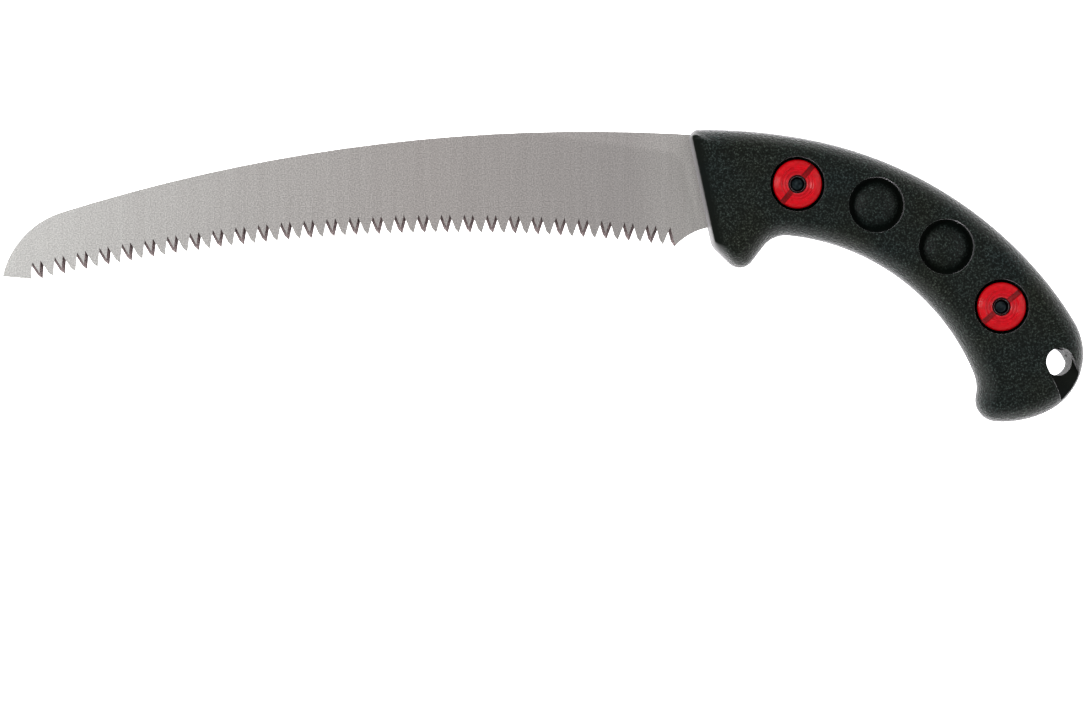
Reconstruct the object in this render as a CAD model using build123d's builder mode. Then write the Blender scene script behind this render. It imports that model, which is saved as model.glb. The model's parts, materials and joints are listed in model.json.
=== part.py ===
"""Curved pruning saw with a fixed blade and a two-shell pistol-grip handle.

The saw lies flat on the far side of its handle.  +X runs from the blade's tip to the butt of the
handle, +Y from the teeth to the spine, and +Z out of the upper flank.  The origin is at the middle
of the bottom of the whole saw's box.  All lengths are in millimetres, all angles in degrees.
"""
from math import cos, degrees, radians, sin, tan
import os

from build123d import *

os.makedirs("parts", exist_ok=True)

# ---- Driving dimensions -------------------------------------------------------------------------
handle_thickness = 21.5
mid_z = handle_thickness / 2            # parting plane of the shells and middle of the blade
edge_radius = 5.2                       # rounding all round each flank
wall = 2.8                              # moulded wall of the shells
parting_chamfer = 0.25                  # the fine groove where the shells meet
fit_gap = 0.15                          # room round a part that lies in a moulded pocket

# Handle outline at the parting plane: where its tangent arcs meet, clockwise from the front top
brow_start = (60.5, 54.2)
crown_start = (100.1, 50.2)
shoulder_start = (185.3, -0.9)
butt_start = (196.6, -16.9)
heel_start = (198.6, -36.8)
sole_start = (186.1, -50.6)
hook_start = (167.7, -54.1)
waist_start = (160.3, -44.4)
grip_start = (159.5, -36.0)
guard_start = (91.1, 14.8)
guard_end = (81.8, 11.0)
# Its three front corners, each with the radius that rounds it
nose_corner = (73.5, 0.0)
nose_rounding = 5.6
front_low_corner = (62.6, 10.6)
front_low_rounding = 6.0
front_high_corner = (53.2, 54.2)
front_high_rounding = 3.4

# Blade: spine and nose are arcs that meet smoothly, then a straight chin, the teeth and the neck
blade_thickness = 1.2
spine_centre = (16.25, -593.8)
spine_radius = 647.2
spine_end_angle = 85.95
nose_radius = 32.05
nose_start_angle = 107.5
tip_angle = 167.6
chin_corner = (-189.9, -1.1)
neck_start = (50.5, 12.6)               # the heel, behind the last tooth
neck_middle = (54.9, 15.7)
neck_end = (61.0, 17.9)

# Teeth: six to the inch along one large arc, each gullet filed straight across at 45 degrees
gullet_count = 57
tooth_pitch = 25.4 / 6
gullet_centre = (-33.3, -674.1)
gullet_radius = 695.0                   # passes through the tops of the open gullets
last_gullet_angle = 83.42
tooth_depth = 5.1                       # from the top of an open gullet to the points
front_slope = tan(radians(16.0))        # flank of a tooth on the handle's side
back_slope = tan(radians(20.5))         # flank of a tooth on the tip's side
point_slope = tan(radians(42.0))        # third bevel, at the point
point_height = 1.7
filing_shift = blade_thickness          # a 45-degree filing moves this far through the blade
cutter_overrun = 1.5
heel_run = 0.7                          # plain edge behind the last gullet, in tooth pitches

# Stations along the grip, on one arc: front bolt, two thumb domes, rear bolt
grip_centre = (81.0, -72.0)
grip_radius = 106.1
station_angles = (83.3, 67.1, 50.9, 34.7)
tang_half_width = 11.5
tang_start_angle = 92.0
tang_end_angle = 28.5

# Clamping hardware, M5, from the hex head in the lower flank up to the red nut
bolt_radius = 2.45
bolt_end_z = 18.5
bolt_end_chamfer = 0.5
head_across_flats = 8.0
head_height = 3.5
head_bottom_z = 0.6
head_top_z = head_bottom_z + head_height
bolt_hole_radius = 2.7
bush_radius = 5.0
bush_bore_radius = 2.6
bush_length = 5.0
nut_seat_z = 15.6
flat_washer_radius = 7.6
flat_washer_thickness = 0.8
spring_washer_radius = 5.6
spring_washer_thickness = 1.0
spring_washer_gap = 1.2
washer_bore_radius = 3.45
nut_bottom_z = nut_seat_z + flat_washer_thickness + spring_washer_thickness
nut_top_z = 21.3
nut_radius = 8.95
nut_foot_chamfer = 0.4
nut_crown_radius = 7.75                 # where the crown of the rim passes nut_top_z
nut_crown_drop = 1.1                    # fall of the crown to the nut's side
nut_ring_radii = (6.1, 4.8, 3.6)        # turned steps, from the rim inwards
nut_ring_drops = (0.6, 0.9, 1.15)       # their floors, below the rim
nut_rim_drop = 0.35                     # inner edge of the crowned rim
nut_recess_radius = 10.1
coin_slot_width = 2.0
coin_slot_depth = 1.6
coin_slot_angles = {"front": 50.0, "rear": 40.0}
insert_radius = 3.35
insert_bore_radius = 2.5
insert_lip_radius = 3.55                # swaged lip that keeps the washers on the nut
insert_lip_height = 0.6
insert_bottom_z = 13.4
insert_top_z = 19.8
insert_hole_radius = 3.8

# Butt: hanging hole, and a cord channel from it to the edge in both flanks
hanging_hole_xy = (189.5, -31.8)
hanging_hole_radius = 5.1
channel_angle = -64.0
channel_length = 25.0
channel_depth = 4.4

# Thumb domes, each in a round recess
dome_recess_radius = 10.2
dome_recess_depth = 3.4
dome_radius = 9.3
dome_height = 2.9

# Coring of the shells, between a boss at each bolt and ribs across the grip
core_depth = 5.4
boss_radius = 11.4
rib_thickness = 1.8
rib_angles = (75.2, 59.0, 42.8)
front_rib_x = 76.0
butt_rib_angle = 22.0
handle_length = 170.0


def on_circle(centre, radius, angle):
    """Point on a circle, with its angle counted anticlockwise from +X."""
    return (centre[0] + radius * cos(radians(angle)), centre[1] + radius * sin(radians(angle)))


front_bolt_xy, front_dome_xy, rear_dome_xy, rear_bolt_xy = (
    on_circle(grip_centre, grip_radius, angle) for angle in station_angles
)
bolt_places = {"front": front_bolt_xy, "rear": rear_bolt_xy}


# ---- Profiles -----------------------------------------------------------------------------------
def handle_profile():
    """Face of the whole handle at the parting plane: tangent arcs round a pistol grip."""
    rounded_corners = (
        (nose_corner, nose_rounding),
        (front_low_corner, front_low_rounding),
        (front_high_corner, front_high_rounding),
    )
    with BuildSketch(Plane.XY.offset(mid_z)) as face:
        with BuildLine():
            brow = TangentArc(brow_start, crown_start, tangent=(1, 0))
            crown = TangentArc(brow @ 1, shoulder_start, tangent=brow % 1)
            shoulder = TangentArc(crown @ 1, butt_start, tangent=crown % 1)
            butt = TangentArc(shoulder @ 1, heel_start, tangent=shoulder % 1)
            heel = TangentArc(butt @ 1, sole_start, tangent=butt % 1)
            sole = TangentArc(heel @ 1, hook_start, tangent=heel % 1)
            hook = TangentArc(sole @ 1, waist_start, tangent=sole % 1)
            waist = TangentArc(hook @ 1, grip_start, tangent=hook % 1)
            grip = TangentArc(waist @ 1, guard_start, tangent=waist % 1)
            guard = TangentArc(grip @ 1, guard_end, tangent=grip % 1)
            Polyline(guard @ 1, nose_corner, front_low_corner, front_high_corner, brow @ 0)
        make_face()
        for corner, rounding in rounded_corners:
            fillet(face.vertices().sort_by_distance(Vector(*corner, mid_z))[0], rounding)
    return face.sketch


def blade_profile(z):
    """Face of the blade and its tang at a height, with the toothed edge still plain."""
    nose_centre = on_circle(spine_centre, spine_radius - nose_radius, nose_start_angle)
    nose_middle_angle = (nose_start_angle + tip_angle) / 2
    spine_middle_angle = (spine_end_angle + nose_start_angle) / 2
    point_radius = gullet_radius - tooth_depth
    edge_start_angle = last_gullet_angle + degrees((gullet_count - 1) * tooth_pitch / gullet_radius)
    edge_end_angle = last_gullet_angle - degrees(heel_run * tooth_pitch / gullet_radius)
    edge_middle_angle = (edge_start_angle + edge_end_angle) / 2
    tang_low = grip_radius - tang_half_width
    tang_high = grip_radius + tang_half_width
    tang_middle_angle = (tang_start_angle + tang_end_angle) / 2
    with BuildSketch(Plane.XY.offset(z)) as face:
        with BuildLine():
            chin = Polyline(
                on_circle(nose_centre, nose_radius, tip_angle),
                chin_corner,
                on_circle(gullet_centre, point_radius, edge_start_angle),
            )
            edge = ThreePointArc(
                chin @ 1,
                on_circle(gullet_centre, point_radius, edge_middle_angle),
                on_circle(gullet_centre, point_radius, edge_end_angle),
            )
            Line(edge @ 1, neck_start)
            ThreePointArc(neck_start, neck_middle, neck_end)
            tang_lower = ThreePointArc(
                on_circle(grip_centre, tang_low, tang_start_angle),
                on_circle(grip_centre, tang_low, tang_middle_angle),
                on_circle(grip_centre, tang_low, tang_end_angle),
            )
            Line(neck_end, tang_lower @ 0)
            tang_upper = ThreePointArc(
                on_circle(grip_centre, tang_high, tang_end_angle),
                on_circle(grip_centre, tang_high, tang_middle_angle),
                on_circle(grip_centre, tang_high, tang_start_angle),
            )
            Line(tang_lower @ 1, tang_upper @ 0)
            spine = ThreePointArc(
                on_circle(spine_centre, spine_radius, spine_end_angle),
                on_circle(spine_centre, spine_radius, spine_middle_angle),
                on_circle(spine_centre, spine_radius, nose_start_angle),
            )
            Line(tang_upper @ 1, spine @ 0)
            ThreePointArc(
                spine @ 1,
                on_circle(nose_centre, nose_radius, nose_middle_angle),
                chin @ 0,
            )
        make_face()
    return face.sketch


def gullet_profile(angle, z, shift):
    """One gullet's V with the third bevel at its mouth, moved along the edge by a shift."""
    apex_height = filing_shift / (front_slope + back_slope)
    bevel_y = apex_height + tooth_depth - point_height
    mouth_y = apex_height + tooth_depth + cutter_overrun
    bevel_x = back_slope * bevel_y
    mouth_x = bevel_x + point_slope * (mouth_y - bevel_y)
    top = on_circle(gullet_centre, gullet_radius + apex_height, angle)
    along_edge = (sin(radians(angle)), -cos(radians(angle)), 0)
    with BuildSketch(Plane(origin=(*top, z), x_dir=along_edge, z_dir=(0, 0, 1))) as face:
        with BuildLine():
            Polyline(
                (shift, 0),
                (shift - front_slope * mouth_y, -mouth_y),
                (shift + mouth_x, -mouth_y),
                (shift + bevel_x, -bevel_y),
                close=True,
            )
        make_face()
    return face.sketch


# ---- Blade --------------------------------------------------------------------------------------
blade_bottom_z = mid_z - blade_thickness / 2
with BuildPart() as saw_blade:
    add(blade_profile(blade_bottom_z))
    extrude(amount=blade_thickness)
    for number in range(gullet_count):
        angle = last_gullet_angle + degrees(number * tooth_pitch / gullet_radius)
        lean = 1 if number % 2 == 0 else -1
        run = lean * filing_shift
        filing = Vector(run * sin(radians(angle)), -run * cos(radians(angle)), blade_thickness)
        extrude(
            gullet_profile(angle, mid_z - blade_thickness, -run),
            amount=2 * filing.length,
            dir=filing,
            mode=Mode.SUBTRACT,
        )
    with Locations(*[(x, y, mid_z) for x, y in bolt_places.values()]):
        Cylinder(bush_radius + fit_gap, 2 * blade_thickness, mode=Mode.SUBTRACT)
saw_blade.part.label = "saw_blade"
export_step(saw_blade.part, "parts/saw_blade.step")


# ---- Handle shells ------------------------------------------------------------------------------
def core_profile():
    """Coring of a shell in plan: inside its wall, clear of bosses, ribs and the solid butt."""
    with BuildSketch(Plane.XY.offset(mid_z)) as face:
        add(handle_profile())
        offset(amount=-wall, kind=Kind.INTERSECTION, mode=Mode.REPLACE)
        with Locations(*bolt_places.values()):
            Circle(boss_radius, mode=Mode.SUBTRACT)
        with Locations((front_rib_x, 0)):
            Rectangle(rib_thickness, 2 * grip_radius, mode=Mode.SUBTRACT)
        for angle in rib_angles:
            with Locations(Location((*on_circle(grip_centre, grip_radius, angle), 0), (0, 0, angle))):
                Rectangle(handle_length, rib_thickness, mode=Mode.SUBTRACT)
        with Locations(Location((*grip_centre, 0), (0, 0, butt_rib_angle))):
            Rectangle(
                2 * grip_radius, handle_length, align=(Align.MIN, Align.MAX), mode=Mode.SUBTRACT
            )
    return face.sketch


def channel_profile(z):
    """Cord channel in plan: as wide as the hanging hole, from the hole out through the edge."""
    with BuildSketch(Plane.XY.offset(z)) as face:
        with Locations(Location((*hanging_hole_xy, 0), (0, 0, channel_angle))):
            Rectangle(channel_length, 2 * hanging_hole_radius, align=(Align.MIN, Align.CENTER))
        with Locations(hanging_hole_xy):
            Circle(hanging_hole_radius)
    return face.sketch


def discs(places, radius, z):
    """Equal circles at several places, at one height."""
    with BuildSketch(Plane.XY.offset(z)) as face:
        with Locations(*places):
            Circle(radius)
    return face.sketch


# What both shells share, made as the upper one
with BuildPart() as shell_blank:
    add(handle_profile())
    extrude(amount=mid_z)
    flank = shell_blank.faces().sort_by(Axis.Z)[-1]
    fillet(flank.outer_wire().edges(), edge_radius)
    seam = shell_blank.faces().sort_by(Axis.Z)[0]
    chamfer(seam.outer_wire().edges(), parting_chamfer)
    # Two round recesses, each with a thumb dome: a cap of a sphere that sits on the floor
    sphere_radius = (dome_radius**2 + dome_height**2) / (2 * dome_height)
    floor_z = handle_thickness - dome_recess_depth
    dome_places = (front_dome_xy, rear_dome_xy)
    add(discs(dome_places, dome_recess_radius, handle_thickness))
    extrude(amount=-dome_recess_depth, mode=Mode.SUBTRACT)
    for x, y in dome_places:
        with BuildSketch(Plane((x, y, floor_z), x_dir=(1, 0, 0), z_dir=(0, -1, 0))):
            with Locations((0, dome_height - sphere_radius)):
                Circle(sphere_radius)
            Rectangle(dome_radius, dome_height, align=Align.MIN, mode=Mode.INTERSECT)
        revolve(axis=Axis((x, y, floor_z), (0, 0, 1)))
    # Coring and the pockets of the tang and the bushes, all open at the parting plane
    add(core_profile())
    extrude(amount=core_depth, mode=Mode.SUBTRACT)
    with BuildSketch(Plane.XY.offset(mid_z)):
        add(blade_profile(mid_z))
        offset(amount=fit_gap, mode=Mode.REPLACE)
    extrude(amount=blade_thickness / 2, mode=Mode.SUBTRACT)
    add(discs(bolt_places.values(), bush_radius + fit_gap, mid_z))
    extrude(amount=bush_length / 2, mode=Mode.SUBTRACT)
    # Hanging hole, and the cord channel in the flank
    add(discs([hanging_hole_xy], hanging_hole_radius, mid_z))
    extrude(amount=mid_z, mode=Mode.SUBTRACT)
    add(channel_profile(handle_thickness))
    extrude(amount=-channel_depth, mode=Mode.SUBTRACT)

# Upper shell, with a deep round recess for each red nut
with BuildPart() as left_handle_shell:
    add(shell_blank.part)
    add(discs(bolt_places.values(), nut_recess_radius, handle_thickness))
    extrude(amount=nut_seat_z - handle_thickness, mode=Mode.SUBTRACT)
    add(discs(bolt_places.values(), insert_hole_radius, handle_thickness))
    extrude(amount=-mid_z, mode=Mode.SUBTRACT)
left_handle_shell.part.label = "left_handle_shell"
export_step(left_handle_shell.part, "parts/left_handle_shell.step")

# Lower shell, with a hexagonal pocket that keeps each bolt's head from turning
with BuildPart() as right_handle_shell:
    add(mirror(shell_blank.part, about=Plane.XY.offset(mid_z)))
    with BuildSketch(Plane.XY):
        with Locations(*bolt_places.values()):
            RegularPolygon(head_across_flats / 2 + fit_gap, 6, major_radius=False)
    extrude(amount=head_top_z, mode=Mode.SUBTRACT)
    add(discs(bolt_places.values(), bolt_hole_radius, 0))
    extrude(amount=mid_z, mode=Mode.SUBTRACT)
right_handle_shell.part.label = "right_handle_shell"
export_step(right_handle_shell.part, "parts/right_handle_shell.step")


# ---- Clamping hardware, one set at each bolt station --------------------------------------------
for end, (x, y) in bolt_places.items():
    # Hex-head bolt, head down, with its chamfered end inside the red nut
    with BuildPart() as clamp_bolt:
        with BuildSketch(Plane.XY.offset(head_bottom_z)):
            with Locations((x, y)):
                RegularPolygon(head_across_flats / 2, 6, major_radius=False)
        extrude(amount=head_height)
        add(discs([(x, y)], bolt_radius, head_top_z))
        extrude(amount=bolt_end_z - head_top_z)
        chamfer(clamp_bolt.faces().sort_by(Axis.Z)[-1].edges(), bolt_end_chamfer)
    clamp_bolt.part.label = f"{end}_clamp_bolt"
    export_step(clamp_bolt.part, f"parts/{end}_clamp_bolt.step")

    # Steel sleeve through the tang, which takes the load of the bolt off the plastic
    with BuildPart() as tang_bush:
        with BuildSketch(Plane.XY.offset(mid_z - bush_length / 2)):
            with Locations((x, y)):
                Circle(bush_radius)
                Circle(bush_bore_radius, mode=Mode.SUBTRACT)
        extrude(amount=bush_length)
    tang_bush.part.label = f"{end}_tang_bush"
    export_step(tang_bush.part, f"parts/{end}_tang_bush.step")

    with BuildPart() as flat_washer:
        with BuildSketch(Plane.XY.offset(nut_seat_z)):
            with Locations((x, y)):
                Circle(flat_washer_radius)
                Circle(washer_bore_radius, mode=Mode.SUBTRACT)
        extrude(amount=flat_washer_thickness)
    flat_washer.part.label = f"{end}_flat_washer"
    export_step(flat_washer.part, f"parts/{end}_flat_washer.step")

    # Split spring washer, pressed flat as it is when the nut is tight
    with BuildPart() as spring_washer:
        with BuildSketch(Plane.XY.offset(nut_seat_z + flat_washer_thickness)):
            with Locations((x, y)):
                Circle(spring_washer_radius)
                Circle(washer_bore_radius, mode=Mode.SUBTRACT)
                Rectangle(
                    2 * spring_washer_radius,
                    spring_washer_gap,
                    align=(Align.MIN, Align.CENTER),
                    mode=Mode.SUBTRACT,
                )
        extrude(amount=spring_washer_thickness)
    spring_washer.part.label = f"{end}_spring_washer"
    export_step(spring_washer.part, f"parts/{end}_spring_washer.step")

    # Threaded core of the nut, with a swaged lip below the washers
    with BuildPart() as nut_insert:
        add(discs([(x, y)], insert_lip_radius, insert_bottom_z))
        extrude(amount=insert_lip_height)
        add(discs([(x, y)], insert_radius, insert_bottom_z))
        extrude(amount=insert_top_z - insert_bottom_z)
        add(discs([(x, y)], insert_bore_radius, insert_bottom_z))
        extrude(amount=insert_top_z - insert_bottom_z, mode=Mode.SUBTRACT)
    nut_insert.part.label = f"{end}_nut_insert"
    export_step(nut_insert.part, f"parts/{end}_nut_insert.step")

    # Red nut: turned steps round the middle, a crowned rim and a coin slot across
    with BuildPart() as clamp_nut:
        with BuildSketch(Plane((x, y, 0), x_dir=(1, 0, 0), z_dir=(0, -1, 0))):
            with BuildLine():
                foot = Polyline(
                    (insert_radius, insert_top_z),
                    (insert_radius, nut_bottom_z),
                    (nut_radius - nut_foot_chamfer, nut_bottom_z),
                    (nut_radius, nut_bottom_z + nut_foot_chamfer),
                    (nut_radius, nut_top_z - nut_crown_drop),
                )
                outer_step, middle_step, inner_step = nut_ring_radii
                outer_floor, middle_floor, inner_floor = (nut_top_z - drop for drop in nut_ring_drops)
                crown = ThreePointArc(
                    foot @ 1,
                    (nut_crown_radius, nut_top_z),
                    (outer_step, nut_top_z - nut_rim_drop),
                )
                Polyline(
                    crown @ 1,
                    (outer_step, outer_floor),
                    (middle_step, outer_floor),
                    (middle_step, middle_floor),
                    (inner_step, middle_floor),
                    (insert_radius, inner_floor),
                    (insert_radius, insert_top_z),
                )
            make_face()
        revolve(axis=Axis((x, y, 0), (0, 0, 1)))
        with BuildSketch(Plane.XY.offset(nut_top_z)):
            with Locations(Location((x, y, 0), (0, 0, coin_slot_angles[end]))):
                Rectangle(2 * nut_recess_radius, coin_slot_width)
        extrude(amount=-coin_slot_depth, mode=Mode.SUBTRACT)
    clamp_nut.part.label = f"{end}_clamp_nut"
    export_step(clamp_nut.part, f"parts/{end}_clamp_nut.step")
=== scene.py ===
"""Looks of the curved pruning saw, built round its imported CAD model. All lengths are in metres."""
import json
import math

import bmesh
import bpy
import numpy as np
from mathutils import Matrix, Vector
from mathutils.geometry import delaunay_2d_cdt

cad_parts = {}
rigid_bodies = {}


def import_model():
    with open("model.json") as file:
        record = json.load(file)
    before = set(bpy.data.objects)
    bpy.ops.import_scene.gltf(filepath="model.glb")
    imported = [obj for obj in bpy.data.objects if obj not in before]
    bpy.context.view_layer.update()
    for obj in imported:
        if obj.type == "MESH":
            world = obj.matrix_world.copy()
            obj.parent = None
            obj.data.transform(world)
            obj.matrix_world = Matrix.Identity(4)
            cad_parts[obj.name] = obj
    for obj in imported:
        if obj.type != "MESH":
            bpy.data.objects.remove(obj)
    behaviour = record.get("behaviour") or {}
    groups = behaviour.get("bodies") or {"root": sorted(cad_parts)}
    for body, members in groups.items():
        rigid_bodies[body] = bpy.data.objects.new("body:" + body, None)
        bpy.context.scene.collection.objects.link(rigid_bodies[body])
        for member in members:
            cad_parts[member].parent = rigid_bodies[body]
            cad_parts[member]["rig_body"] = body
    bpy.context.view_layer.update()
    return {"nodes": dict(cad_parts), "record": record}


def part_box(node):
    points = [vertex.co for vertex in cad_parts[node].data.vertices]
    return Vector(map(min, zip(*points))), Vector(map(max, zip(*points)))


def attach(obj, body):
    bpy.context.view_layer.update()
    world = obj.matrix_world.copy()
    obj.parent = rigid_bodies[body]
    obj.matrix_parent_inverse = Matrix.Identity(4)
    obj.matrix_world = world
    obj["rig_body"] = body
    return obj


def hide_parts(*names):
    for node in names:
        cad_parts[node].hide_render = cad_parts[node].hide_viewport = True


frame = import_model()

MM = 0.001
blade_low, blade_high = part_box("saw_blade")
mid_z = (blade_low.z + blade_high.z) / 2                 # the parting plane
flank_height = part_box("left_handle_shell")[1].z - mid_z

# The handle's outline in millimetres, as the CAD draws it: points where its tangent arcs meet,
# clockwise from the front top, and then the three rounded corners of the front with their radii
ARC_JOINTS = (
    (60.5, 54.2), (100.1, 50.2), (185.3, -0.9), (196.6, -16.9), (198.6, -36.8), (186.1, -50.6),
    (167.7, -54.1), (160.3, -44.4), (159.5, -36.0), (91.1, 14.8), (81.8, 11.0),
)
FRONT_CORNERS = (((73.5, 0.0), 5.6), ((62.6, 10.6), 6.0), ((53.2, 54.2), 3.4))
NOSE, BROW = (Vector(corner) for corner, _ in FRONT_CORNERS[1:])
FRONT_RISE = (BROW - NOSE).normalized()
INTO_FRONT = Vector((FRONT_RISE.y, -FRONT_RISE.x))     # from the front face into the handle
FRONT_PLACE = NOSE.dot(INTO_FRONT) * MM
STATION_CENTRE, STATION_RADIUS = (81.0, -72.0), 106.1
DOME_ANGLES = (67.1, 50.9)
NUT_RECESS_RADIUS, DOME_RECESS_RADIUS = 10.1 * MM, 10.2 * MM

RIM_INSET = 0.1 * MM            # the smooth rim lies this far inside the facets of the CAD wall
RIM_RISE = 0.02 * MM            # its curve would end this far above the flat of the flank
GROOVE = 0.22 * MM              # depth and height of the bevel along the parting line
SKIRT = 0.5 * MM                # the rim's solid reaches this far past the parting plane
LIP = 0.5 * MM                  # rounding of the lip of each round recess


def middle_of(node):
    """Middle of a CAD node's box."""
    low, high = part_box(node)
    return (low + high) / 2


nut_centres = {end: middle_of(f"{end}_clamp_nut") for end in ("front", "rear")}


# ---- Camera, floor and light ----------------------------------------------------------------------
def aim(obj, target):
    """Turns a camera or light at a point, with +Y up in its view."""
    direction = Vector(target) - obj.location
    obj.rotation_euler = direction.to_track_quat("-Z", "Y").to_euler()


def add_camera():
    """Straight down on the left flank from one metre, shifted because the saw is high in the picture."""
    distance, view_width, view_shift = 1.0, 0.4022, -0.0319
    data = bpy.data.cameras.new("view")
    data.sensor_width = 36.0
    data.lens = data.sensor_width * distance / view_width
    camera = bpy.data.objects.new("view", data)
    camera.location = (0, view_shift, mid_z + distance)
    bpy.context.scene.collection.objects.link(camera)
    bpy.context.scene.camera = camera


def add_area_light(name, place, size, power):
    """A square lamp aimed at the front of the handle."""
    handle_front = (0.05, 0, 0)
    data = bpy.data.lights.new(name, "AREA")
    data.shape = "SQUARE"
    data.size = size
    data.energy = power
    lamp = bpy.data.objects.new(name, data)
    lamp.location = place
    bpy.context.scene.collection.objects.link(lamp)
    aim(lamp, handle_front)


def add_world():
    """A light tent: bright walls at the horizon, dim overhead."""
    wall_light, ceiling_light = (1, 1, 1, 1), (0.24, 0.24, 0.24, 1)
    wall_top, ceiling_edge = 0.22, 0.62     # how steeply a direction rises: 0 is level, 1 straight up
    brightness = 2.2
    world = bpy.data.worlds.new("light_tent")
    bpy.context.scene.world = world
    world.use_nodes = True
    nodes, links = world.node_tree.nodes, world.node_tree.links
    background = nodes["Background"]
    coordinate = nodes.new("ShaderNodeTexCoord")
    separate = nodes.new("ShaderNodeSeparateXYZ")
    ramp = nodes.new("ShaderNodeValToRGB")
    ramp.color_ramp.elements[0].position = wall_top
    ramp.color_ramp.elements[0].color = wall_light
    ramp.color_ramp.elements[1].position = ceiling_edge
    ramp.color_ramp.elements[1].color = ceiling_light
    links.new(coordinate.outputs["Generated"], separate.inputs[0])
    links.new(separate.outputs["Z"], ramp.inputs[0])
    links.new(ramp.outputs[0], background.inputs["Color"])
    background.inputs["Strength"].default_value = brightness


def add_floor():
    """White paper, a hair below the flank that lies on it so that the two never coincide."""
    half, height = 3.0, -0.1 * MM
    data = bpy.data.meshes.new("floor")
    corners = [(-half, -half, height), (half, -half, height), (half, half, height), (-half, half, height)]
    data.from_pydata(corners, [], [(0, 1, 2, 3)])
    floor = bpy.data.objects.new("floor", data)
    bpy.context.scene.collection.objects.link(floor)
    material = bpy.data.materials.new("floor_paper")
    material.use_nodes = True
    shader = material.node_tree.nodes["Principled BSDF"]
    shader.inputs["Base Color"].default_value = (0.92, 0.92, 0.92, 1)
    shader.inputs["Roughness"].default_value = 0.9
    shader.inputs["Specular IOR Level"].default_value = 0.0
    shader.inputs["Emission Color"].default_value = (1, 1, 1, 1)
    shader.inputs["Emission Strength"].default_value = 1.8
    data.materials.append(material)


# ---- Material helpers -----------------------------------------------------------------------------
class Finish:
    """A Principled material and short ways to wire procedural detail into it."""

    def __init__(self, name, colour, metallic, roughness):
        self.material = bpy.data.materials.new(name)
        self.material.use_nodes = True
        self.nodes = self.material.node_tree.nodes
        self.links = self.material.node_tree.links
        self.shader = self.nodes["Principled BSDF"]
        self.shader.inputs["Base Color"].default_value = (*colour, 1)
        self.shader.inputs["Metallic"].default_value = metallic
        self.shader.inputs["Roughness"].default_value = roughness
        self.place = self.nodes.new("ShaderNodeTexCoord").outputs["Object"]

    def set(self, socket, value):
        """Puts a number into a node's socket, or links another node's output to it."""
        if isinstance(value, bpy.types.NodeSocket):
            self.links.new(value, socket)
        else:
            socket.default_value = value

    def maths(self, operation, *values):
        node = self.nodes.new("ShaderNodeMath")
        node.operation = operation
        for socket, value in zip(node.inputs, values):
            self.set(socket, value)
        return node.outputs[0]

    def stretched(self, scale, shift=(0, 0, 0)):
        """The object's coordinates, moved and then scaled along each axis."""
        moved = self.nodes.new("ShaderNodeVectorMath")
        moved.operation = "ADD"
        moved.inputs[1].default_value = shift
        self.links.new(self.place, moved.inputs[0])
        scaled = self.nodes.new("ShaderNodeVectorMath")
        scaled.operation = "MULTIPLY"
        scaled.inputs[1].default_value = scale
        self.links.new(moved.outputs[0], scaled.inputs[0])
        return scaled.outputs[0]

    def noise(self, place, scale, detail=2.0):
        """Noise, whose values lie mostly between 0.3 and 0.7."""
        node = self.nodes.new("ShaderNodeTexNoise")
        node.inputs["Scale"].default_value = scale
        node.inputs["Detail"].default_value = detail
        self.links.new(place, node.inputs["Vector"])
        return node.outputs["Fac"]

    def cells(self, place, scale):
        node = self.nodes.new("ShaderNodeTexVoronoi")
        node.feature = "SMOOTH_F1"
        node.inputs["Scale"].default_value = scale
        self.links.new(place, node.inputs["Vector"])
        return node.outputs["Distance"]

    def ramp(self, value, *stops):
        """Colour ramp with (position, colour) stops."""
        node = self.nodes.new("ShaderNodeValToRGB")
        elements = node.color_ramp.elements
        while len(elements) < len(stops):
            elements.new(0.5)
        for element, (position, colour) in zip(elements, stops):
            element.position = position
            element.color = (*colour, 1)
        self.links.new(value, node.inputs[0])
        return node.outputs[0]

    def span(self, value, low, high, to_low=0.0, to_high=1.0):
        """Maps a value's range onto another, clamped at both ends."""
        node = self.nodes.new("ShaderNodeMapRange")
        node.inputs["From Min"].default_value = low
        node.inputs["From Max"].default_value = high
        node.inputs["To Min"].default_value = to_low
        node.inputs["To Max"].default_value = to_high
        self.links.new(value, node.inputs["Value"])
        return node.outputs[0]

    def mix(self, factor, first, second, blend="MIX"):
        node = self.nodes.new("ShaderNodeMix")
        node.data_type = "RGBA"
        node.blend_type = blend
        self.set(node.inputs[0], factor)
        for socket, colour in ((node.inputs[6], first), (node.inputs[7], second)):
            is_plain = not isinstance(colour, bpy.types.NodeSocket)
            self.set(socket, (*colour, 1) if is_plain else colour)
        return node.outputs[2]

    def shaded(self, colour, factor, low, high, share=1.0):
        """A colour multiplied by low to high as the factor rises, mixed in by a share."""
        return self.mix(share, colour, self.mix(factor, low, high), "MULTIPLY")

    def flatness(self):
        """1 where the surface faces straight up or down, and 0 on an upright wall."""
        normal = self.nodes.new("ShaderNodeNewGeometry").outputs["Normal"]
        return self.maths("ABSOLUTE", self.xyz(normal)[2])

    def xyz(self, vector):
        node = self.nodes.new("ShaderNodeSeparateXYZ")
        self.links.new(vector, node.inputs[0])
        return node.outputs

    def bump(self, height, distance, strength=1.0, under=None):
        node = self.nodes.new("ShaderNodeBump")
        node.inputs["Strength"].default_value = strength
        node.inputs["Distance"].default_value = distance
        self.links.new(height, node.inputs["Height"])
        if under is not None:
            self.links.new(under, node.inputs["Normal"])
        return node.outputs[0]

    def use(self, **sockets):
        """Links outputs to the shader's sockets, named with underscores for spaces."""
        for name, value in sockets.items():
            self.set(self.shader.inputs[name.replace("_", " ")], value)


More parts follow.
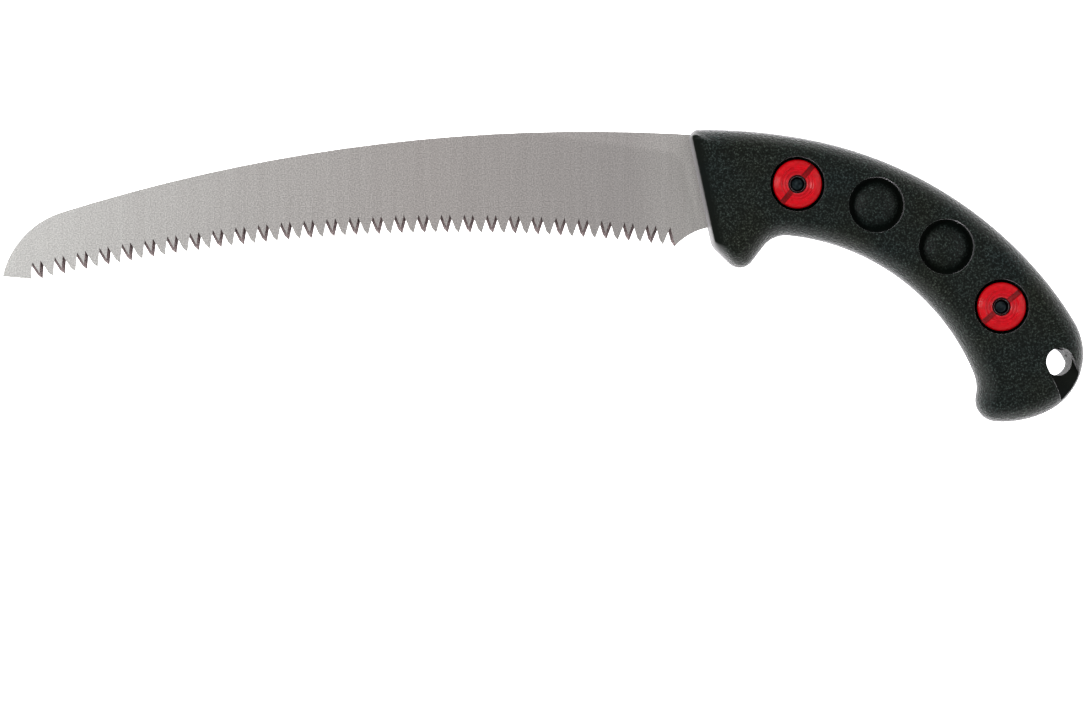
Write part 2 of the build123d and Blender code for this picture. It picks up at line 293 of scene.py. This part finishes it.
# ---- Materials --------------------------------------------------------------------------------------
def blade_steel():
    """Ground satin steel: grinding lines across the blade, a taper grind, and filed bevels painted dark as
    shade.
    """
    finish = Finish("ground_steel", (0.55, 0.53, 0.51), 1.0, 0.42)
    x, y, _ = finish.xyz(finish.place)
    lines = finish.noise(finish.stretched((1, 0.02, 0)), 3200, 3.0)
    broad_lines = finish.noise(finish.stretched((1, 0.03, 0)), 420)
    speckle = finish.noise(finish.place, 2200)
    handle_start = 56 * MM
    # Painted light: the blade is painted lighter at its tip, darker towards the handle and lighter again
    # at the heel
    colour = finish.ramp(
        finish.span(x, blade_low.x, handle_start),
        (0.0, (0.54, 0.535, 0.52)),
        (0.28, (0.53, 0.515, 0.50)),
        (0.62, (0.50, 0.47, 0.455)),
        (0.9, (0.46, 0.435, 0.425)),
        (1.0, (0.56, 0.54, 0.52)),
    )
    # The taper grind stops at a soft corner: a gentle slope from the spine, then down to the heel
    spine_slope, spine_place = 0.14, 52.2 * MM
    heel_slope, heel_place = 0.246, 62.1 * MM
    corner_softness, half_blend = 8 * MM, 0.8 * MM
    spine_side = finish.maths("SUBTRACT", finish.maths("MULTIPLY_ADD", x, spine_slope, y), spine_place)
    heel_side = finish.maths("SUBTRACT", finish.maths("MULTIPLY_ADD", y, heel_slope, x), heel_place)
    outside = finish.maths("SMOOTH_MAX", spine_side, heel_side, corner_softness)
    unground = finish.span(outside, -half_blend, half_blend)
    spots = finish.span(speckle, 0.35, 0.65)
    colour = finish.shaded(colour, unground, (0.95,) * 3, (1.06,) * 3)
    colour = finish.shaded(colour, finish.span(lines, 0.3, 0.7), (0.88,) * 3, (1.1,) * 3, share=0.4)
    colour = finish.shaded(colour, finish.span(broad_lines, 0.3, 0.7), (0.97, 0.965, 0.965), (1.03,) * 3)
    colour = finish.shaded(colour, spots, (0.80,) * 3, (1.20,) * 3)
    # Filed facets lean away from the flat of the blade, and are painted darker by that lean, a painted
    # shade; upright walls are painted nearly black, a painted shade too
    flatness = finish.flatness()
    filed = finish.span(flatness, 0.97, 0.86)
    upright_wall_shade = finish.span(flatness, 0.45, 0.15, 0.0, 0.6)
    facet_shade_colour = finish.mix(spots, (0.045, 0.035, 0.036), (0.19, 0.15, 0.15))
    colour = finish.mix(filed, colour, facet_shade_colour)
    finish.use(Base_Color=finish.mix(upright_wall_shade, colour, (0.05, 0.045, 0.045)))
    finish.use(Roughness=finish.span(speckle, 0.3, 0.7, 0.33, 0.46))
    grooves = finish.maths("MULTIPLY_ADD", lines, 0.7, finish.maths("MULTIPLY", speckle, 0.5))
    finish.use(Normal=finish.bump(grooves, 0.02 * MM, 0.5))
    return finish.material


def grip_plastic():
    """Black moulded plastic with a leather grain, smooth along the front face and deep in its recesses."""
    finish = Finish("grained_black_plastic", (0.002, 0.0034, 0.0028), 0.0, 0.4)
    finish.shader.inputs["Specular IOR Level"].default_value = 0.1
    finish.shader.inputs["Sheen Weight"].default_value = 0.6
    finish.shader.inputs["Sheen Roughness"].default_value = 0.26
    finish.shader.inputs["Sheen Tint"].default_value = (0.95, 0.91, 0.96, 1)
    x, y, z = finish.xyz(finish.place)
    # The grain and its painted glints start behind the front face, and stop on the floors of the recesses,
    # which are left darker as a painted shade
    grain_start, grain_full = 2.6 * MM, 5.0 * MM
    floor_start, floor_full = 2.0 * MM, 3.0 * MM
    across = finish.maths("MULTIPLY", x, INTO_FRONT.x)
    behind = finish.maths("MULTIPLY_ADD", y, INTO_FRONT.y, across)
    off_front = finish.span(behind, FRONT_PLACE + grain_start, FRONT_PLACE + grain_full)
    from_middle = finish.maths("ABSOLUTE", finish.maths("SUBTRACT", z, mid_z))
    depth = finish.maths("SUBTRACT", flank_height, from_middle)
    faces_out = finish.span(finish.flatness(), 0.6, 0.85)
    shaded_floors = finish.maths("MULTIPLY", finish.span(depth, floor_start, floor_full), faces_out)
    grained = finish.maths("MULTIPLY", off_front, finish.maths("SUBTRACT", 1.0, shaded_floors))
    grain = finish.cells(finish.place, 1000)
    fine = finish.noise(finish.place, 1500, 3.0)
    tiny = finish.noise(finish.place, 3400)
    clouds = finish.noise(finish.place, 45)
    hue = finish.span(clouds, 0.3, 0.7)
    dark = finish.mix(hue, (0.0014, 0.0032, 0.0028), (0.0026, 0.0036, 0.0018))
    # Pale specks in the colour are painted glints on the grain's facets
    glint_colour = finish.mix(hue, (0.044, 0.066, 0.064), (0.054, 0.066, 0.050))
    painted_glints = finish.maths("MULTIPLY", finish.span(fine, 0.49, 0.68), finish.span(tiny, 0.40, 0.60))
    finish.use(Base_Color=finish.mix(finish.maths("MULTIPLY", painted_glints, grained), dark, glint_colour))
    finish.use(Roughness=finish.span(fine, 0.3, 0.7, 0.34, 0.50))
    relief = finish.maths("MULTIPLY", finish.maths("ADD", grain, fine), grained)
    finish.use(Normal=finish.bump(relief, 0.3 * MM, 0.8))
    return finish.material


def nut_red(end):
    """Glossy red plastic with fine turned rings about the nut's own axis."""
    finish = Finish(f"glossy_red_{end}", (0.55, 0.001, 0.006), 0.0, 0.2)
    finish.shader.inputs["Specular IOR Level"].default_value = 0.2
    centre = nut_centres[end]
    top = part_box(f"{end}_clamp_nut")[1].z
    x, y, z = finish.xyz(finish.stretched((1, 1, 1), (-centre.x, -centre.y, -top)))
    radius = finish.maths("SQRT", finish.maths("MULTIPLY_ADD", x, x, finish.maths("MULTIPLY", y, y)))
    ring_pitch = 0.42 * MM
    rings = finish.maths("SINE", finish.maths("MULTIPLY", radius, 2 * math.pi / ring_pitch))
    wear = finish.noise(finish.place, 700, 4.0)
    worn = finish.span(wear, 0.35, 0.7)
    # Painted light: the nut's face is painted lighter towards the middle and darker towards the rim
    rim_shade = finish.span(radius, 4.2 * MM, 8.6 * MM)
    depth_shade = finish.span(z, -0.7 * MM, -1.5 * MM)
    colour = finish.mix(rim_shade, (0.52, 0.0008, 0.009), (0.46, 0.0003, 0.004))
    # Painted shade: from 0.7 mm below the top the red is painted much darker, in the slot and down the
    # sides
    colour = finish.mix(depth_shade, colour, (0.24, 0.0003, 0.003))
    finish.use(Base_Color=finish.shaded(colour, worn, (0.82,) * 3, (1.12,) * 3))
    finish.use(Roughness=finish.span(wear, 0.35, 0.7, 0.12, 0.26))
    ring_bump = finish.bump(rings, 0.03 * MM, 0.8)
    finish.use(Normal=finish.bump(wear, 0.06 * MM, 0.35, ring_bump))
    return finish.material


def dark_steel(name, highlight_colour):
    """Black oxide steel, with a painted highlight of another colour on its chamfered edges."""
    finish = Finish(name, (0.03, 0.034, 0.038), 1.0, 0.35)
    blotches = finish.noise(finish.place, 900, 4.0)
    oxide = finish.mix(finish.span(blotches, 0.4, 0.7), (0.012, 0.018, 0.021), (0.045, 0.062, 0.068))
    flatness = finish.flatness()
    not_flat, not_upright = finish.span(flatness, 0.95, 0.85), finish.span(flatness, 0.44, 0.5)
    # Painted highlight: faces that lean partway between flat and upright, the chamfers, take the highlight
    # colour
    chamfer_highlight = finish.maths("MULTIPLY", not_flat, not_upright)
    finish.use(Base_Color=finish.mix(chamfer_highlight, oxide, highlight_colour))
    finish.use(Roughness=finish.span(blotches, 0.3, 0.7, 0.26, 0.5))
    finish.use(Normal=finish.bump(blotches, 0.04 * MM, 0.4))
    return finish.material


def zinc_steel():
    """Bright zinc plate with a faint spangle."""
    finish = Finish("zinc_plate", (0.55, 0.56, 0.58), 1.0, 0.3)
    spangle = finish.cells(finish.place, 900)
    colour = finish.mix(finish.span(spangle, 0.1, 0.6), (0.46, 0.48, 0.51), (0.66,) * 3)
    finish.use(Base_Color=colour)
    finish.use(Roughness=finish.span(spangle, 0.1, 0.6, 0.2, 0.36))
    finish.use(Normal=finish.bump(spangle, 0.03 * MM, 0.3))
    return finish.material


# ---- Handle shells --------------------------------------------------------------------------------
def tangent_arc(start, end, heading, spacing):
    """Points after start along the arc that leaves it at a heading, and the heading at its end."""
    chord = end - start
    across = Vector((-heading.y, heading.x))
    sideways = chord.dot(across)
    radius = chord.length_squared / (2 * sideways)
    centre = start + across * radius
    sweep = 2 * math.atan2(sideways, chord.dot(heading))
    count = max(2, math.ceil(abs(radius * sweep) / spacing))
    arm = start - centre
    points = [centre + turned(arm, sweep * i / count) for i in range(1, count + 1)]
    return points, turned(heading, sweep)


def turned(vector, angle):
    """A flat vector turned anticlockwise."""
    c, s = math.cos(angle), math.sin(angle)
    return Vector((vector.x * c - vector.y * s, vector.x * s + vector.y * c))


def corner_arc(before, corner, after, radius, spacing):
    """Points of the arc that rounds the corner between two straight lines."""
    back, ahead = (before - corner).normalized(), (after - corner).normalized()
    opening = back.angle(ahead)
    cut = radius / math.tan(opening / 2)
    start = corner + back * cut
    return [start, *tangent_arc(start, corner + ahead * cut, -back, spacing)[0]]


def handle_outline(spacing):
    """The handle's outline as a dense loop in metres, clockwise. The spacing is in millimetres."""
    joints = [Vector(p) for p in ARC_JOINTS]
    points, heading = [joints[0]], Vector((1, 0))
    for start, end in zip(joints, joints[1:]):
        arc, heading = tangent_arc(start, end, heading, spacing)
        points += arc
    path = [joints[-1], *(Vector(p) for p, _ in FRONT_CORNERS), joints[0]]
    for before, corner, after, (_, radius) in zip(path, path[1:], path[2:], FRONT_CORNERS):
        points += corner_arc(before, corner, after, radius, spacing)
    return np.array(points) * MM


def evenly_spaced(loop, step):
    """The same closed loop with an even number of points, every step or so."""
    closed = np.vstack([loop, loop[:1]])
    lengths = np.hypot(*np.diff(closed, axis=0).T)
    reached = np.concatenate([[0], np.cumsum(lengths)])
    count = 2 * round(reached[-1] / step / 2)
    wanted = np.linspace(0, reached[-1], count, endpoint=False)
    return np.column_stack([np.interp(wanted, reached, closed[:, i]) for i in (0, 1)])


def inward_normals(loop):
    """Unit vectors into the handle at each point of its clockwise outline."""
    tangent = np.roll(loop, -1, axis=0) - np.roll(loop, 1, axis=0)
    tangent /= np.hypot(*tangent.T)[:, None]
    return np.column_stack([tangent[:, 1], -tangent[:, 0]])


def rim_widths(loop, inward):
    """Width of the rounded rim: broad all round the grip, and narrow along the front face."""
    broad, narrow, front_end = 7.8 * MM, 0.8 * MM, 80 * MM
    turning, turned_to_front = 0.45, 0.90       # X of the inward normal where it narrows, and is narrow
    share = np.clip((inward[:, 0] - turning) / (turned_to_front - turning), 0, 1)
    faces_front = share * (loop[:, 0] < front_end)
    widths = broad + (narrow - broad) * faces_front
    reach = 6
    wrapped = np.concatenate([widths[-reach:], widths, widths[:reach]])
    return np.convolve(wrapped, np.full(2 * reach + 1, 1 / (2 * reach + 1)), mode="valid")


def depth_field(points, loop, widths, step):
    """Distance from the outline, the same without creases in narrow corners, and the rim's width there.

    The creaseless distance sums the sixth power of nearness to the whole outline. On a straight
    edge the sum is 3/8 pi over the fifth power of the distance, which is undone here.
    """
    nearest, smooth, width = [], [], []
    chunk_size = 400
    for chunk in np.array_split(points, max(1, len(points) // chunk_size)):
        gap = np.hypot(*(chunk[:, None, :] - loop[None, :, :]).transpose(2, 0, 1))
        gap = np.maximum(gap, step / 4)
        nearness = (gap / step) ** -6.0
        total = nearness.sum(axis=1)
        nearest.append(gap.min(axis=1))
        smooth.append(step * (total / (3 * math.pi / 8)) ** -0.2)
        width.append((nearness * widths).sum(axis=1) / total)
    return np.concatenate(nearest), np.concatenate(smooth), np.concatenate(width)


def rim_height(depth, width):
    """Height of the rounded flank above the parting plane: a quarter ellipse, then flat."""
    reach = np.clip((width + RIM_INSET - depth) / width, 0, 1)
    return GROOVE + (flank_height + RIM_RISE - GROOVE) * np.sqrt(1 - reach**2)


def creaseless(depth, smooth):
    """The plain distance close to the outline, and the creaseless one further in."""
    plain_to, smooth_from = 1.0 * MM, 2.5 * MM
    share = np.clip((depth - plain_to) / (smooth_from - plain_to), 0, 1)
    return depth + (smooth - depth) * share


def inside(points, loop):
    """Which points lie inside a closed loop, by counting the edges crossed towards +X."""
    found = np.zeros(len(points), bool)
    for (ax, ay), (bx, by) in zip(loop, np.roll(loop, -1, axis=0)):
        if ay == by:
            continue
        spans = (points[:, 1] < ay) != (points[:, 1] < by)
        crossing = ax + (points[:, 1] - ay) * (bx - ax) / (by - ay)
        found ^= spans & (points[:, 0] < crossing)
    return found


def rim_points(loop, widths, inward, step):
    """Places and heights over the flank: rings inside the outline, and a grid where the rings run out."""
    ring_count = 14
    grid_step, grid_gap = 1.0 * MM, 0.6 * MM
    shallow, slack = 1.0 * MM, 0.05 * MM
    grid_reach, chunk_size = 1.4, 200
    every_other = slice(None, None, 2)
    own_widths = widths[every_other]
    places, heights = [], []
    for number in range(ring_count + 1):
        depth = own_widths * (1 - math.cos(math.radians(90 * number / ring_count))) + RIM_INSET
        ring = loop[every_other] + inward[every_other] * depth[:, None]
        nearest, smooth, width = depth_field(ring, loop, widths, step)
        keep = (nearest > depth - slack) | (number == 0)
        is_shallow = depth < shallow
        height = rim_height(creaseless(depth, smooth), np.where(is_shallow, own_widths, width))
        places.append(ring[keep])
        heights.append(height[keep])
    rings = np.vstack(places)
    spans = [np.arange(low, high, grid_step) for low, high in zip(loop.min(axis=0), loop.max(axis=0))]
    grid = np.stack(np.meshgrid(*spans), axis=-1).reshape(-1, 2)
    grid = grid[inside(grid, loop)]
    nearest, smooth, width = depth_field(grid, loop, widths, step)
    gaps = [
        np.hypot(*(part[:, None] - rings[None]).transpose(2, 0, 1)).min(axis=1)
        for part in np.array_split(grid, max(1, len(grid) // chunk_size))
    ]
    keep = (nearest > shallow) & (nearest < grid_reach * width) & (np.concatenate(gaps) > grid_gap)
    heights.append(rim_height(creaseless(nearest, smooth), width)[keep])
    return np.vstack([rings, grid[keep]]), np.concatenate(heights)


def clean_copy(node):
    """A watertight copy of a CAD node's mesh, with the points of neighbouring faces joined."""
    made = bmesh.new()
    made.from_mesh(frame["nodes"][node].data)
    bmesh.ops.remove_doubles(made, verts=made.verts, dist=0.002 * MM)
    return made


def new_object(name, made):
    """A linked object from a bmesh, which is freed."""
    data = bpy.data.meshes.new(name)
    made.to_mesh(data)
    made.free()
    linked = bpy.data.objects.new(name, data)
    bpy.context.scene.collection.objects.link(linked)
    return linked


def rim_solid(side, places, heights, inward):
    """A closed solid with the rounded flank as its top. side is 1 for the left flank, -1 for the right."""
    count = len(inward)
    edges = [(i, (i + 1) % count) for i in range(count)]
    flat = [Vector(p) for p in places / MM]
    inside_only, tolerance = 1, 1e-5
    corners, _, faces, sources, _, _ = delaunay_2d_cdt(flat, edges, [], inside_only, tolerance)
    made = bmesh.new()
    top = [
        made.verts.new((p.x * MM, p.y * MM, mid_z + side * heights[source[0]]))
        for p, source in zip(corners, sources)
    ]
    for face in faces:
        made.faces.new([top[i] for i in face])
    rim = {source[0]: vertex for vertex, source in zip(top, sources) if source[0] < count}
    rings = [[rim[i] for i in range(count)]]
    seam = places[:count] + inward * GROOVE
    for height in (0.0, -SKIRT):
        rings.append([made.verts.new((x, y, mid_z + side * height)) for x, y in seam])
    for upper, lower in zip(rings, rings[1:]):
        for i in range(count):
            j = (i + 1) % count
            made.faces.new((upper[i], upper[j], lower[j], lower[i]))
    made.faces.new(rings[-1])
    bmesh.ops.recalc_face_normals(made, faces=made.faces)
    return new_object("rim_solid", made)


def lathe(profile, centre, segments):
    """A closed solid of revolution about a vertical axis, from (radius, height) points."""
    made = bmesh.new()
    rings = []
    for number in range(segments):
        turn = 2 * math.pi * number / segments
        across = Vector((math.cos(turn), math.sin(turn), 0))
        rings.append([made.verts.new(centre + across * r + Vector((0, 0, z))) for r, z in profile])
    for ring, following in zip(rings, rings[1:] + rings[:1]):
        for i in range(len(profile)):
            j = (i + 1) % len(profile)
            made.faces.new((ring[i], ring[j], following[j], following[i]))
    bmesh.ops.remove_doubles(made, verts=made.verts, dist=0.0005 * MM)
    bmesh.ops.recalc_face_normals(made, faces=made.faces)
    return made


def rounded(profile, radius, steps):
    """The same closed profile with each sharp corner turned into a small arc."""
    nearly_straight, longest_share = math.radians(165), 0.45
    result = []
    points = [Vector(p) for p in profile]
    for before, corner, after in zip(points[-1:] + points, points, points[1:] + points[:1]):
        back, ahead = before - corner, after - corner
        cut = min(radius, back.length * longest_share, ahead.length * longest_share)
        if back.angle(ahead) > nearly_straight:
            result.append(tuple(corner))
            continue
        start, end = corner + back.normalized() * cut, corner + ahead.normalized() * cut
        for number in range(steps + 1):
            t = number / steps
            result.append(tuple(start * (1 - t) ** 2 + corner * 2 * t * (1 - t) + end * t**2))
    return result


def carve(target, cutter, operation):
    """Applies a boolean to target with cutter, welds the slivers it leaves, and removes the cutter."""
    modifier = target.modifiers.new("carve", "BOOLEAN")
    modifier.operation = operation
    modifier.solver = "EXACT"
    modifier.object = cutter
    depsgraph = bpy.context.evaluated_depsgraph_get()
    mesh = bpy.data.meshes.new_from_object(target.evaluated_get(depsgraph))
    welded = bmesh.new()
    welded.from_mesh(mesh)
    bmesh.ops.remove_doubles(welded, verts=welded.verts, dist=0.001 * MM)
    welded.to_mesh(mesh)
    welded.free()
    target.modifiers.clear()
    target.data = mesh
    bpy.data.objects.remove(cutter)


def bridged(name, first, second):
    """A closed solid between two loops of as many points each."""
    made = bmesh.new()
    rows = [[made.verts.new(point) for point in loop] for loop in (first, second)]
    for row in rows:
        made.faces.new(row)
    for i in range(len(first)):
        j = (i + 1) % len(first)
        made.faces.new((rows[0][i], rows[0][j], rows[1][j], rows[1][i]))
    bmesh.ops.recalc_face_normals(made, faces=made.faces)
    return new_object(name, made)


def front_block(side, rim):
    """Fills the broad edge of the shell along its front face, so that the narrow rim can shape it."""
    depth, height = 9 * MM, 6 * MM
    near = rim @ np.array(INTO_FRONT) - FRONT_PLACE < depth
    start = next(i for i in range(len(rim)) if near[i] and not near[i - 1])
    outline = np.roll(rim, -start, axis=0)[: near.sum()]
    top = mid_z + side * flank_height
    loops = [[(x, y, z) for x, y in outline] for z in (top - side * height, top)]
    return bridged("front_block", *loops)


def lip_cutter(side, places, radius):
    """Rounds the lip of round recesses of one radius, in the flank of one side."""
    overcut, segments = 1.04, 96
    arc = [math.radians(a) for a in range(0, 91, 10)]
    centre_r, centre_z = radius + LIP, flank_height - LIP
    curve = [(centre_r - LIP * overcut * math.cos(a), centre_z + LIP * overcut * math.sin(a)) for a in arc]
    top = flank_height + 2 * LIP
    profile = [(radius - 2 * LIP, centre_z), *curve, (centre_r, top), (radius - 2 * LIP, top)]
    profile = [(r, side * z) for r, z in profile]
    made = bmesh.new()
    for x, y in places:
        ring = lathe(profile, Vector((x, y, mid_z)), segments)
        piece = bpy.data.meshes.new("lip")
        ring.to_mesh(piece)
        ring.free()
        made.from_mesh(piece)
    bmesh.ops.recalc_face_normals(made, faces=made.faces)
    return new_object("lip_cutter", made)


def finish_surface(piece, sharp_angle, finish, node):
    """Smooth shading with crisp edges, the material, the body it rides on and the node it replaces."""
    piece.data.materials.clear()
    piece.data.materials.append(finish)
    for polygon in piece.data.polygons:
        polygon.use_smooth = True
        polygon.material_index = 0
    piece.data.set_sharp_from_angle(angle=math.radians(sharp_angle))
    weighted = piece.modifiers.new("flat_faces_win", "WEIGHTED_NORMAL")
    weighted.keep_sharp = True
    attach(piece, frame["nodes"][node]["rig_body"])
    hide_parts(node)


def add_handle_shells(finish):
    """Each moulded shell, cut down to a broad rounded rim, with the lips of its recesses rounded."""
    step, arc_spacing, sharp_angle = 0.35 * MM, 0.3, 32
    loop = evenly_spaced(handle_outline(arc_spacing), step)
    inward = inward_normals(loop)
    widths = rim_widths(loop, inward)
    places, heights = rim_points(loop, widths, inward, step)
    rim_inward = inward[::2]
    rim = places[: len(rim_inward)]
    centre_x, centre_y = STATION_CENTRE
    domes = []
    for angle in DOME_ANGLES:
        turn = math.radians(angle)
        x, y = centre_x + STATION_RADIUS * math.cos(turn), centre_y + STATION_RADIUS * math.sin(turn)
        domes.append((x * MM, y * MM))
    nuts = [(centre.x, centre.y) for centre in nut_centres.values()]
    for side, end in ((1, "left"), (-1, "right")):
        node = f"{end}_handle_shell"
        shell = new_object(f"{end}_handle", clean_copy(node))
        carve(shell, front_block(side, rim), "UNION")
        carve(shell, rim_solid(side, places, heights, rim_inward), "INTERSECT")
        carve(shell, lip_cutter(side, domes, DOME_RECESS_RADIUS), "DIFFERENCE")
        if side > 0:
            carve(shell, lip_cutter(side, nuts, NUT_RECESS_RADIUS), "DIFFERENCE")
        finish_surface(shell, sharp_angle, finish, node)


# ---- Nuts, inserts and bolts ----------------------------------------------------------------------
def slot_cutter(centre, angle, top, floor):
    """A coin slot across a nut, with fine ridges across its floor."""
    half_length, half_width, pitch, ridge = 9.6 * MM, 1.0 * MM, 0.8 * MM, 0.14 * MM
    teeth = int(2 * half_length / pitch)
    under = [(-half_length + pitch * i / 2, floor + (ridge if i % 2 else 0)) for i in range(2 * teeth + 1)]
    outline = under + [(under[-1][0], top), (under[0][0], top)]
    along = Vector((math.cos(angle), math.sin(angle), 0))
    across = Vector((-along.y, along.x, 0))
    middle = Vector((centre.x, centre.y, 0))
    loops = [
        [middle + along * s + across * side + Vector((0, 0, z)) for s, z in outline]
        for side in (-half_width, half_width)
    ]
    return bridged("slot_cutter", *loops)


def add_clamp_nut(end, slot_angle, finish):
    """Turned red nut: a broad crowned rim, two ring grooves inside it and a ridged coin slot."""
    low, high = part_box(f"{end}_clamp_nut")
    outer = (high.x - low.x) / 2
    bore, bottom, top = 3.36 * MM, low.z, high.z - 0.02 * MM
    crown_width, crown_height, bottom_chamfer = 2.6 * MM, 1.2 * MM, 0.4 * MM
    mouth_depth, slot_depth, slot_clearance = 1.22 * MM, 1.5 * MM, 1.0 * MM
    corner_radius, corner_steps, segments, sharp_angle = 0.10 * MM, 3, 160, 40
    crown = []
    for a in range(0, 91, 9):
        turn = math.radians(a)
        crown_radius = outer - crown_width + crown_width * math.cos(turn)
        crown.append((crown_radius, top - crown_height * (1 - math.sin(turn))))
    # The ring grooves inside the crown, in millimetres: radius, and depth below the top
    steps = (
        (6.25, 0.06), (6.10, 0.55), (5.50, 0.62), (5.42, 0.50), (4.90, 0.52),
        (4.78, 0.88), (4.20, 0.92), (4.12, 0.80), (3.72, 0.84),
    )
    profile = [
        (bore, bottom),
        (outer - bottom_chamfer, bottom),
        (outer, bottom + bottom_chamfer),
        *crown,
        *[(radius * MM, top - depth * MM) for radius, depth in steps],
        (bore, top - mouth_depth),
    ]
    centre = nut_centres[end]
    smoothed = rounded(profile, corner_radius, corner_steps)
    nut = new_object(f"{end}_red_nut", lathe(smoothed, Vector((centre.x, centre.y, 0)), segments))
    slot = slot_cutter(centre, math.radians(slot_angle), top + slot_clearance, top - slot_depth)
    carve(nut, slot, "DIFFERENCE")
    finish_surface(nut, sharp_angle, finish, f"{end}_clamp_nut")


def add_nut_insert(end, finish):
    """Threaded steel core of the nut, with a chamfered mouth, an inner thread and a swaged lip."""
    low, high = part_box(f"{end}_nut_insert")
    outer, lip, lip_height = 3.34 * MM, 3.55 * MM, 0.6 * MM
    bore, crest, pitch, thread_top = 2.5 * MM, 0.18 * MM, 0.8 * MM, 0.35 * MM
    collar, shoulder, chamfer, edge = 2.86 * MM, 0.90 * MM, 0.10 * MM, 0.02 * MM
    cove_width, cove_depth, foot, root_gap = 0.08 * MM, 0.05 * MM, 0.05 * MM, 0.01 * MM
    segments, sharp_angle = 96, 25
    thread = []
    z = high.z - thread_top
    while z > low.z + pitch:
        thread += [(bore + crest, z), (bore + root_gap, z - pitch / 2)]
        z -= pitch
    profile = [
        (outer - chamfer, high.z - shoulder),
        (collar + cove_width, high.z - shoulder - cove_depth),
        (collar, high.z - chamfer - edge),
        (collar - chamfer, high.z),
        (bore + crest + edge, high.z - chamfer),
        *thread,
        (bore + crest, low.z + foot),
        (bore + crest, low.z),
        (lip, low.z),
        (lip, low.z + lip_height),
        (outer, low.z + lip_height),
        (outer, high.z - shoulder - chamfer),
    ]
    centre = nut_centres[end]
    insert = new_object(f"{end}_steel_insert", lathe(profile, Vector((centre.x, centre.y, 0)), segments))
    finish_surface(insert, sharp_angle, finish, f"{end}_nut_insert")


def add_clamp_bolt(end, finish):
    """Hex-head bolt with its corners turned off at about 30 degrees and a thread above the bush."""
    node = f"{end}_clamp_bolt"
    low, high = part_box(node)
    centre = nut_centres[end]
    shank, root, pitch, gap = 2.44 * MM, 2.12 * MM, 0.8 * MM, 0.02 * MM
    head_radius, head_height = 4.75 * MM, 3.55 * MM
    face_radius, face_chamfer, overcut = 3.67 * MM, 0.5 * MM, 0.1 * MM
    run_out, thread_end, lead_in, end_chamfer = 0.3 * MM, 0.7 * MM, 0.1 * MM, 0.5 * MM
    segments, sharp_angle = 96, 25
    thread_start = mid_z + 2.5 * MM
    thread = []
    z = thread_start
    while z < high.z - thread_end:
        thread += [(root, z), (shank, z + pitch / 2)]
        z += pitch
    # The lathe reaches past the head's underside, because faces in one plane would leave slivers
    profile = [
        (0.0, low.z - overcut),
        (face_radius, low.z - overcut),
        (head_radius, low.z + face_chamfer),
        (head_radius, low.z + head_height),
        (shank + gap, low.z + head_height),
        (shank + gap, thread_start - run_out),
        *thread,
        (shank - lead_in, high.z - end_chamfer),
        (shank - lead_in - end_chamfer, high.z - gap),
        (0.0, high.z - 3 * gap),
    ]
    bolt = new_object(f"{end}_hex_bolt", clean_copy(node))
    turned_shape = lathe(profile, Vector((centre.x, centre.y, 0)), segments)
    carve(bolt, new_object("bolt_lathe", turned_shape), "INTERSECT")
    finish_surface(bolt, sharp_angle, finish, node)


# ---- Scene ------------------------------------------------------------------------------------------
add_camera()
add_world()
add_floor()
add_area_light("key_left", (-1.0, 0.25, 0.95), 0.5, 12)
add_area_light("fill_right", (1.1, 0.2, 0.9), 0.9, 4)
bpy.context.scene.view_settings.view_transform = "Standard"

finishes = {
    "blade_steel": blade_steel(),
    "grip_plastic": grip_plastic(),
    "dark_steel": dark_steel("black_oxide_steel", (0.07, 0.085, 0.09)),
    "zinc_steel": zinc_steel(),
}
red_finishes = {end: nut_red(end) for end in nut_centres}
# The insert's chamfers get a bright painted highlight
steel_with_painted_highlight = dark_steel("oxide_steel_painted_highlight", (0.6, 0.62, 0.62))
for part in frame["record"]["subparts"]:
    node = frame["nodes"][part["node"]]
    node.data.materials.clear()
    if part["material_slot"] == "nut_red":
        node.data.materials.append(red_finishes[part["node"].split("_")[0]])
    else:
        node.data.materials.append(finishes[part["material_slot"]])

add_handle_shells(finishes["grip_plastic"])
for end, slot_angle in (("front", 50), ("rear", 40)):
    add_clamp_nut(end, slot_angle, red_finishes[end])
    add_nut_insert(end, steel_with_painted_highlight)
    add_clamp_bolt(end, finishes["dark_steel"])
